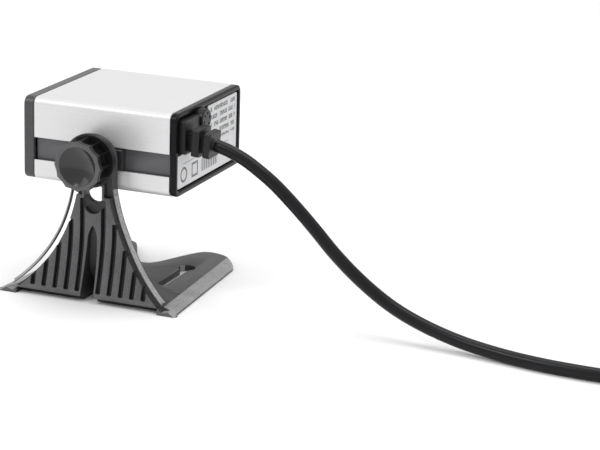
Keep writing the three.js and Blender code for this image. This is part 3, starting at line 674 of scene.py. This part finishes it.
def softened(node: str, name: str, width: float, segments: int = 2, angle: float = 32.0) -> bpy.types.Object:
    """Copy of a CAD node with its edges rounded.

    The copy's loose triangles are joined, flat neighbours become one face, and every edge that is
    sharper than the angle gets a bevel.

    Args:
        node: The CAD node.
        name: The new piece's name.
        width: Bevel width in millimetres.
        segments: Steps across the bevel.
        angle: Degrees between faces past which an edge is rounded.

    Returns:
        The new piece, which stands for the node.
    """
    work = bmesh.new()
    work.from_mesh(bpy.data.objects[node].data)
    bmesh.ops.remove_doubles(work, verts=work.verts, dist=2e-6)
    bmesh.ops.dissolve_limit(work, angle_limit=math.radians(0.6), verts=work.verts, edges=work.edges)
    mesh = bpy.data.meshes.new(name)
    work.to_mesh(mesh)
    work.free()
    piece = bpy.data.objects.new(name, mesh)
    bpy.context.scene.collection.objects.link(piece)
    bevel = piece.modifiers.new("rounding", "BEVEL")
    bevel.width = width * MM
    bevel.segments = segments
    bevel.limit_method = "ANGLE"
    bevel.angle_limit = math.radians(angle)
    bevel.use_clamp_overlap = True
    bake_modifiers(piece)
    piece.data.shade_smooth()
    piece.data.set_sharp_from_angle(angle=math.radians(40.0))
    return piece


def bake_modifiers(piece: bpy.types.Object) -> None:
    """Replace a piece's mesh by its modified one, and drop the modifiers."""
    graph = bpy.context.evaluated_depsgraph_get()
    graph.update()
    mesh = bpy.data.meshes.new_from_object(piece.evaluated_get(graph))
    piece.modifiers.clear()
    piece.data = mesh


# ----------------------------------------------------------------------------- studio


@dataclass
class Studio:
    """Camera, soft lights and a pale floor."""

    eye: tuple[float, float, float] = (351.2, -696.1, 256.2)
    azimuth: float = 21.71
    elevation: float = 16.42
    roll: float = 1.67
    lens: float = 140.76
    sensor: float = 36.0
    sky: float = 0.80
    floor_half: float = 4.0
    floor_drop: float = 2e-5

    def place_camera(self) -> None:
        """Stand the camera at the eye.

        Its back axis is (sin a cos e, -cos a cos e, sin e), its right axis is level and square to
        that, and both right and up are then turned by the roll about the back axis.
        """
        a, e, p = (math.radians(v) for v in (self.azimuth, self.elevation, self.roll))
        right = Vector((math.cos(a), math.sin(a), 0.0))
        back = Vector((math.sin(a) * math.cos(e), -math.cos(a) * math.cos(e), math.sin(e)))
        up = back.cross(right)
        across = math.cos(p) * right + math.sin(p) * up
        upward = -math.sin(p) * right + math.cos(p) * up
        camera = bpy.data.objects.new("camera", bpy.data.cameras.new("camera"))
        bpy.context.scene.collection.objects.link(camera)
        camera.data.lens = self.lens
        camera.data.sensor_width = self.sensor
        camera.data.clip_start = 0.02
        camera.data.clip_end = 50.0
        turn = Matrix((across, upward, back)).transposed().to_4x4()
        camera.matrix_world = Matrix.Translation(Vector(to_row(np.array(self.eye)))) @ turn
        bpy.context.scene.camera = camera

    def light_up(self) -> None:
        """Hang four soft boxes round the object and fill the rest with an even pale sky."""
        world = bpy.data.worlds.new("sky")
        world.use_nodes = True
        background = world.node_tree.nodes["Background"]
        background.inputs[0].default_value = (1.0, 1.0, 1.0, 1.0)
        background.inputs[1].default_value = self.sky
        bpy.context.scene.world = world
        bpy.context.scene.view_settings.view_transform = "Standard"
        self._softbox("top", (0.05, 0.15, 0.8), (0.03, 0.0, 0.04), 0.5, 2.2)
        self._softbox("front", (-0.4, -0.6, 0.85), (0.0, 0.0, 0.04), 0.24, 2.4)
        self._softbox("left", (-0.8, -0.5, 0.5), (0.0, 0.0, 0.04), 0.4, 0.5)
        self._softbox("right", (0.95, 0.1, 0.5), (0.02, 0.0, 0.05), 0.5, 1.2)

    def _softbox(
        self, name: str, where: Sequence[float], aim: Sequence[float], size: float, power: float
    ) -> None:
        """Add a square area light.

        Args:
            name: The light's name.
            where: Its middle, in metres in the row's frame.
            aim: The point that it faces.
            size: Its side in metres.
            power: Its power in watts.
        """
        data = bpy.data.lights.new(name, "AREA")
        data.shape = "SQUARE"
        data.size = size
        data.energy = power
        lamp = bpy.data.objects.new(name, data)
        bpy.context.scene.collection.objects.link(lamp)
        lamp.location = where
        lamp.rotation_euler = (Vector(aim) - Vector(where)).to_track_quat("-Z", "Y").to_euler()

    def lay_floor(self) -> None:
        """Lay a plain pale floor just under the object."""
        h = self.floor_half
        square = np.array([[-h, -h, 0.0], [h, -h, 0.0], [h, h, 0.0], [-h, h, 0.0]])
        corners = square - [0.0, 0.0, self.floor_drop]
        floor = new_piece("floor", corners, [[0, 1, 2, 3]])
        s = Shader("pale_floor")
        paper = s.noise(40.0, 2.0)
        rough = 0.75 + (paper - 0.5) * 0.1
        floor.data.materials.append(s.finish(Base_Color=(0.95, 0.95, 0.95), Roughness=rough))


# ----------------------------------------------------------------------------- lead


@dataclass
class Lead:
    """The free lead, from the strain relief to its plug."""

    radius: float = 2.25
    length: float = 1.5
    sides: int = 12
    rest_height: float = 2.28
    route: Sequence[tuple[float, float, float]] = (
        (39.6, 7.9, 56.7), (44.5, 7.5, 55.5), (50.7, 6.9, 53.2), (56.6, 6.3, 50.0), (62.2, 5.8, 46.4),
        (69.9, 5.1, 40.2), (77.7, 4.4, 33.2), (85.3, 3.7, 26.0), (94.9, 2.9, 18.4), (106.1, 1.9, 11.6),
        (117.2, 0.6, 7.3), (131.7, -1.2, 3.9), (146.3, -3.6, 2.5), (160.5, -6.2, 2.28),
        (173.9, -7.3, 2.28), (184.0, -7.4, 2.28), (196.1, -7.4, 2.28), (205.0, -7.4, 2.28),
    )
    coil_centre: tuple[float, float] = (214.0, 25.35)
    coil_radii: tuple[float, ...] = (32.75, 28.25, 23.75, 19.25)
    layer: float = 4.52
    root_length: float = 24.0
    root_overlap: int = 2
    root_slim: float = 0.998
    slack: tuple[float, float] = (100.0, 58.0)
    tail: Sequence[tuple[float, float, float]] = (
        (246.75, 30.5, 6.6), (246.75, 36.5, 6.0), (246.75, 43.1, 5.1), (246.75, 49.7, 4.3),
    )

    def coil(self, per_turn: int = 48) -> np.ndarray:
        """Centreline of the wound turns.

        Angle grows from the bottom of the ring. The lower layer steps inwards once a turn, the
        last of its turns climbs, and the upper layer steps outwards earlier in each turn so that
        it clears the climb. Each step is a smooth rise between two angles.
        """
        full = len(self.coil_radii)
        turns = 2 * full - 1 + 0.25
        turn = np.linspace(0.0, turns, int(turns * per_turn) + 1)
        radius = np.full_like(turn, self.coil_radii[0])
        height = np.full_like(turn, self.rest_height)
        pitch = self.coil_radii[0] - self.coil_radii[1]
        for n in range(1, full):
            radius -= pitch * self._rise(turn, n - 0.17, n - 0.04)
            radius += pitch * self._rise(turn, full + n - 0.31, full + n - 0.18)
        height += self.layer * self._rise(turn, full - 0.17, full - 0.04)
        angle = (turn - 0.25) * 2 * math.pi
        x = self.coil_centre[0] + radius * np.cos(angle)
        y = self.coil_centre[1] + radius * np.sin(angle)
        return np.stack([x, y, height], axis=1)

    @staticmethod
    def _rise(value: np.ndarray, low: float, high: float) -> np.ndarray:
        """Smooth rise from nought to one: t squared times (3 - 2 t)."""
        t = np.clip((value - low) / (high - low), 0.0, 1.0)
        return t * t * (3.0 - 2.0 * t)

    def centreline(self, step: float = 2.2) -> np.ndarray:
        """Whole route in millimetres, with points a step apart."""
        knots = np.vstack([np.array(self.route), self.coil(24), np.array(self.tail)])
        return resampled(knots, step)

    def make(self, wardrobe: Wardrobe) -> bpy.types.Object:
        """Sweep the lead as a short root and a long piece, and dress the plug.

        Args:
            wardrobe: The finishes.

        Returns:
            The long piece of the lead.
        """
        path = to_row(self.centreline())
        cut = int(np.searchsorted(distance_along(path), self.root_length * MM))
        root_end = cut + self.root_overlap
        full = self.radius * MM
        lead = sweep("lead", path[cut:], np.full(len(path) - cut, full), self.sides)
        wardrobe.dress(lead, Finish.SHEATH)
        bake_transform(lead)
        root = sweep("lead_root", path[:root_end], np.full(root_end, full * self.root_slim), self.sides)
        wardrobe.dress(root, Finish.SHEATH)
        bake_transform(root)
        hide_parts("cord_tube", "cord_coil", "cord_tail")
        wardrobe.dress_nodes(["plug_overmould"], Finish.SOFT_BLACK)
        wardrobe.dress_nodes(["plug_shell"], Finish.STEEL)
        wardrobe.dress_nodes(["plug_tongue"], Finish.NYLON)
        return lead

    @staticmethod
    def _point_at(path: np.ndarray, x: float) -> tuple[float, ...]:
        """Point of the first third of the path, before the coil, nearest to x millimetres."""
        before_coil = path[: len(path) // 3, 0]
        return tuple(path[np.argmin(abs(before_coil - to_row([x, 0, 0])[0]))])


def distance_along(path: np.ndarray) -> np.ndarray:
    """Distance from the start to each point of a path."""
    return np.concatenate([[0.0], np.cumsum(np.linalg.norm(np.diff(path, axis=0), axis=1))])


def resampled(knots: np.ndarray, step: float) -> np.ndarray:
    """Smooth curve through the knots with points about a step apart.

    Between two knots it is the Catmull-Rom cubic whose knot times grow with the square root of
    the distance, as the CAD's is.
    """
    gap = np.sqrt(np.linalg.norm(np.diff(knots, axis=0), axis=1))
    first, last = 2 * knots[0] - knots[1], 2 * knots[-1] - knots[-2]
    k = np.vstack([first, knots, last])
    t = np.concatenate([[-gap[0]], [0.0], np.cumsum(gap), [gap.sum() + gap[-1]]])
    fine = np.linspace(0.0, 1.0, 24, endpoint=False)
    s = t[1:-2, None] + fine[None, :] * gap[:, None]
    p0, p1, p2, p3 = (k[n : len(k) - 3 + n][:, None] for n in range(4))
    t0, t1, t2, t3 = (t[n : len(t) - 3 + n][:, None] for n in range(4))

    def lerp(a: np.ndarray, b: np.ndarray, ta: np.ndarray, tb: np.ndarray) -> np.ndarray:
        """Straight blend of a at time ta and b at time tb."""
        w = ((s - ta) / (tb - ta))[..., None]
        return a * (1.0 - w) + b * w

    a1, a2, a3 = lerp(p0, p1, t0, t1), lerp(p1, p2, t1, t2), lerp(p2, p3, t2, t3)
    b1, b2 = lerp(a1, a2, t0, t2), lerp(a2, a3, t1, t3)
    dense = np.vstack([lerp(b1, b2, t1, t2).reshape(-1, 3), knots[-1]])
    travel = distance_along(dense)
    even = np.linspace(0.0, travel[-1], int(travel[-1] / step) + 1)
    return np.stack([np.interp(even, travel, dense[:, n]) for n in range(3)], axis=1)


# ----------------------------------------------------------------------------- clamp


@dataclass
class ClampKnob:
    """Scalloped knob with a polished dish, and the metal parts under it."""

    back: float = -7.34
    front: float = -17.8
    bore: float = -14.4
    flange: float = 9.4
    cusp: float = 8.85
    valley: float = 7.55
    flutes: int = 12
    dish: float = 6.8
    dish_depth: float = 2.3

    def _fluted(self, radius: np.ndarray, angle: np.ndarray, weight: np.ndarray) -> np.ndarray:
        """Radius less weight times the flute depth, which falls off as a power from its middle.

        Two flutes meet in a cusp, where the depth is nought on both sides. The power is two on the
        scalloped plate, and it grows with weights past one, which makes flat-floored pockets.
        """
        across = 2.0 * ((angle * self.flutes / (2 * math.pi)) % 1.0) - 1.0
        power = 2.0 + 8.0 * np.clip(weight - 1.0, 0.0, 1.0)
        return radius - weight * (self.cusp - self.valley) * (1.0 - np.abs(across) ** power)

    def _profile(self) -> np.ndarray:
        """Rows of radius, distance along y and flute weight, from the bore out and round to the dish."""
        r = np.linspace(self.dish, 0.02, 12)
        dish = np.stack([r, self.front + self.dish_depth * (1 - (r / self.dish) ** 2), 0 * r], axis=1)
        rows = [
            (0.02, self.bore, 0), (3.3, self.bore, 0), (3.3, self.back, 0), (self.flange - 0.5, self.back, 0),
            (self.flange, self.back - 0.3, 0), (self.flange, self.back - 1.4, 0), (9.2, self.back - 1.7, 0),
            (8.8, self.back - 1.75, 0.2), (8.8, self.back - 1.9, 2.0), (8.8, self.front + 1.95, 2.0),
            (8.8, self.front + 1.85, 0.5),
            (8.85, self.front + 1.7, 0.45), (8.85, self.front + 0.4, 0.45), (8.7, self.front + 0.1, 0.4),
            (8.5, self.front, 0.35),
            (6.95, self.front, 0), (6.85, self.front + 0.05, 0),
        ]
        return np.vstack([np.array(rows, float), dish])

    def make(self, wardrobe: Wardrobe) -> bpy.types.Object:
        """Build the knob and dress the clamp's other parts."""

        def place(radius: np.ndarray, angle: np.ndarray, along: np.ndarray) -> np.ndarray:
            """Round the clamp axis: x and z from the angle, y along it."""
            spokes = [radius * np.cos(angle), along, CLAMP_Z + radius * np.sin(angle)]
            return to_row(np.stack(spokes, axis=-1))

        knob = turned("knob_scalloped", self._profile(), self.flutes * 16, place, self._fluted, 48.0)
        wardrobe.dress(knob, Finish.DARK)
        self._dress_front(knob, wardrobe)
        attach(knob, "knob")
        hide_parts("knob")
        wardrobe.dress_nodes(["knob_insert"], Finish.BRASS)
        wardrobe.dress_nodes(["clamp_stud", "clamp_washer"], Finish.STEEL)
        wardrobe.dress_nodes(["slider_block"], Finish.SLIDER)
        return knob

    def _dress_front(self, knob: bpy.types.Object, wardrobe: Wardrobe) -> None:
        """Give the dish a polished finish and the flat ring round it a fine grey one."""
        knob.data.materials.append(wardrobe.material(Finish.DISH))
        knob.data.materials.append(wardrobe.material(Finish.KNOB_FACE))
        centre = np.empty(len(knob.data.polygons) * 3)
        knob.data.polygons.foreach_get("center", centre)
        centre = centre.reshape(-1, 3) / MM + FOOTPRINT_CENTRE
        radius = np.hypot(centre[:, 0], centre[:, 2] - CLAMP_Z)
        dish = (radius < self.dish + 0.06) & (centre[:, 1] < self.front + self.dish_depth + 0.1)
        ring = (radius > self.dish + 0.06) & (centre[:, 1] < self.front + 0.06)
        index = np.where(dish, 1, np.where(ring, 2, 0))
        knob.data.polygons.foreach_set("material_index", index.astype(np.int32))


# ----------------------------------------------------------------------------- camera and stand


@dataclass
class CameraBox:
    """Housing, label, microphone, optics and the boards inside, with the finish of each."""

    finishes: Mapping[str, Finish] = field(
        default_factory=lambda: {
            "body_sleeve": Finish.ALUMINIUM,
            "front_panel": Finish.GLOSS_BLACK,
            "rail_inlay": Finish.RAIL,
            "front_frame": Finish.FRAME,
            "rear_frame": Finish.REAR_FRAME,
            "rear_panel microphone_housing lens_holder": Finish.DARK,
            "focus_ring lens_barrel": Finish.DARK,
            "rating_label": Finish.LABEL,
            "strain_relief": Finish.SOFT_BLACK,
            "status_light": Finish.DIFFUSER,
            "microphone_capsule crystal board_screw_a board_screw_b": Finish.STEEL,
            "front_element rear_element infrared_filter": Finish.GLASS,
            "image_sensor controller_chip memory_chip": Finish.CHIP,
            "main_board": Finish.BOARD,
            "capacitor_a capacitor_b": Finish.CAN,
            "lead_connector": Finish.NYLON,
            "inner_lead": Finish.INNER_LEAD,
        }
    )

    def make(self, wardrobe: Wardrobe) -> int:
        """Dress the camera's pieces, and give their number."""
        for names, finish in self.finishes.items():
            wardrobe.dress_nodes(names.split(), finish)
        return sum(len(names.split()) for names in self.finishes)


@dataclass
class Stand:
    """Moulded bracket: flared ribbed leg and two-lobed foot."""

    rounding: float = 0.15
    crest_slack: float = 0.6
    crest_top: float = 43.0
    # share of the painted highlight given to the rib crests
    crest_highlight: float = 0.2
    rim_top: float = 43.0
    rim_fade: float = 6.0
    bevel_slopes: tuple[float, float] = (1.6, 6.0)
    bevel_top: float = 2.3
    bevel_from: float = 20.0
    back: float = -6.04
    flare_top: float = 26.6
    flare_back: float = 4.86
    flare_fall: float = 20.2
    flare_bend: float = 4.4

    def make(self, wardrobe: Wardrobe) -> bpy.types.Object:
        """Round the bracket's edges, mark its painted rim highlights and dress it."""
        bracket = softened("stand_bracket", "bracket", self.rounding)
        self._mark_painted_highlights(bracket)
        wardrobe.dress(bracket, Finish.STAND)
        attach(bracket, "stand")
        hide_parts("stand_bracket")
        return bracket

    def _mark_painted_highlights(self, bracket: bpy.types.Object) -> None:
        """Store a painted highlight on each face: one on rims, less on the ribs' crests, else nought.

        The pale grey that this puts on rims and crests is painted highlight for the light those faces
        catch. The foot's bevels slope gently outwards near the desk. The leg's rim leans backwards and
        outwards along both sides, and its painted highlight fades towards the neck, which lies in the
        knob's shade. The crests are the faces that look straight back.
        """
        mesh = bracket.data
        normal = self._per_face(mesh, "normal")
        centre = self._per_face(mesh, "center") / MM + FOOTPRINT_CENTRE
        height = centre[:, 2]
        slope = normal[:, 2] / np.maximum(np.abs(normal[:, 0]), 1e-6)
        gentle = (slope > self.bevel_slopes[0]) & (slope < self.bevel_slopes[1])
        foot = gentle & (height < self.bevel_top) & (np.abs(centre[:, 0]) > self.bevel_from)
        outward = np.hypot(normal[:, 0], normal[:, 2]) > 0.6
        leaning = (normal[:, 1] < -0.2) & (np.abs(normal[:, 0]) > 0.35)
        leg = outward & leaning & (height > 1.0) & (height < self.rim_top)
        behind = centre[:, 1] - self._back_at(height)
        # rib crests that face straight back get a weaker painted highlight, for the light they catch from the
        # front and top
        crest = (normal[:, 1] < -0.85) & (behind < self.crest_slack) & (height < self.crest_top)
        # the painted highlight fades out towards the neck, where the knob shades the leg
        fade = np.clip((self.rim_top - height) / self.rim_fade, 0.0, 1.0)
        # painted highlight mask: full on the foot's bevels and the leg's rim, weaker on the crests
        painted_highlight_mask = np.maximum(np.maximum(foot, leg * fade), self.crest_highlight * crest)
        rim = mesh.attributes.new("rim", "FLOAT", "FACE")
        rim.data.foreach_set("value", painted_highlight_mask.astype(np.float32))

    @staticmethod
    def _per_face(mesh: bpy.types.Mesh, what: str) -> np.ndarray:
        """A vector of each face, such as its normal or its center, one row each."""
        flat = np.empty(len(mesh.polygons) * 3)
        mesh.polygons.foreach_get(what, flat)
        return flat.reshape(-1, 3)

    def _back_at(self, z: np.ndarray) -> np.ndarray:
        """Depth of the leg's back at a height.

        Above flare_top it is straight. Below, it is a quadratic in t: it falls by flare_fall t
        plus flare_bend t squared, and goes back by flare_back t squared.
        """
        below = np.maximum(self.flare_top - z, 0.0)
        root = np.sqrt(self.flare_fall**2 + 4 * self.flare_bend * below)
        t = (root - self.flare_fall) / (2 * self.flare_bend)
        return self.back - self.flare_back * t**2


def main() -> None:
    """Build everything in order: camera and lead first, then each sub-assembly."""
    logging.basicConfig(level=logging.INFO, format="%(message)s")
    wardrobe = Wardrobe()
    studio = Studio()
    studio.place_camera()
    log.info("lead: %s", Lead().make(wardrobe).name)
    studio.light_up()
    studio.lay_floor()
    log.info("clamp: %s", ClampKnob().make(wardrobe).name)
    log.info("camera: %s pieces dressed", CameraBox().make(wardrobe))
    log.info("stand: %s", Stand().make(wardrobe).name)


if __name__ == "__main__":
    main()
